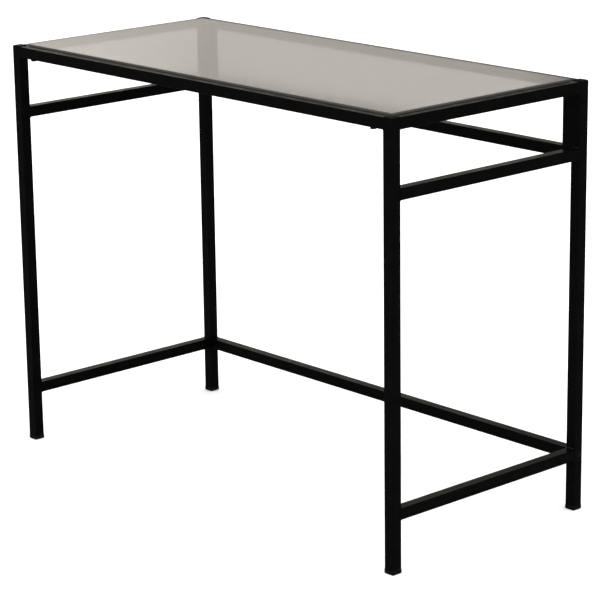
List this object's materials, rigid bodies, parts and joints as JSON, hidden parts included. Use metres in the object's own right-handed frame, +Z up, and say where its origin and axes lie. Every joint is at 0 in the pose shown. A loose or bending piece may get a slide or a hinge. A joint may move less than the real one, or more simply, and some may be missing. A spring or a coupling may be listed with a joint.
{
  "type": "glass-top writing desk",
  "caption": "Open square-tube steel desk with a loose tinted glass top, a back apron, upper side rails and low side and back stretchers.",
  "frame": {"origin": "on the floor under the centre of the desk", "axes": "+X along the width, to the right of a person seated at the open front; +Y to the back, where the low stretcher and the apron are; +Z up"},
  "size_m": [1.0032, 0.463, 0.764],
  "materials": {
    "black_steel": "satin black powder coat",
    "black_plastic": "moulded, fine texture",
    "black_bolt": "black oxide",
    "zinc": "zinc plated",
    "silicone": "clear silicone",
    "smoked_glass": "tempered, warm grey tint, ground edges"
  },
  "bodies": {
    "frame": {"leg_front_left": "black_steel", "leg_front_right": "black_steel", "leg_back_left": "black_steel", "leg_back_right": "black_steel", "foot_front_left": "black_plastic", "foot_front_right": "black_plastic", "foot_back_left": "black_plastic", "foot_back_right": "black_plastic", "leg_cap_front_left": "black_plastic", "leg_cap_front_right": "black_plastic", "leg_cap_back_left": "black_plastic", "leg_cap_back_right": "black_plastic", "top_rail_left": "black_steel", "top_rail_right": "black_steel", "top_rail_front": "black_steel", "top_rail_back": "black_steel", "upper_rail_left": "black_steel", "upper_rail_right": "black_steel", "upper_rail_back": "black_steel", "apron_post_left": "black_steel", "apron_post_right": "black_steel", "low_stretcher_left": "black_steel", "low_stretcher_right": "black_steel", "low_stretcher_back": "black_steel", "ledge_front": "black_steel", "ledge_back": "black_steel", "ledge_left": "black_steel", "ledge_right": "black_steel", "front_rail_stubs": "black_steel", "front_rail_bolts": "black_bolt", "apron_bolts": "black_bolt", "apron_rivet_nuts": "zinc", "stretcher_bolts": "black_bolt", "stretcher_end_plugs": "zinc", "welds_left_frame": "black_steel", "welds_right_frame": "black_steel", "welds_apron": "black_steel", "glass_pads": "silicone"},
    "glass": {"glass_top": "smoked_glass"}
  },
  "joints": [
    {"name": "glass_lift", "type": "slide", "parent": "frame", "child": "glass", "axis": [0, 0, 1], "range_m": [0, 0.25]}
  ]
}
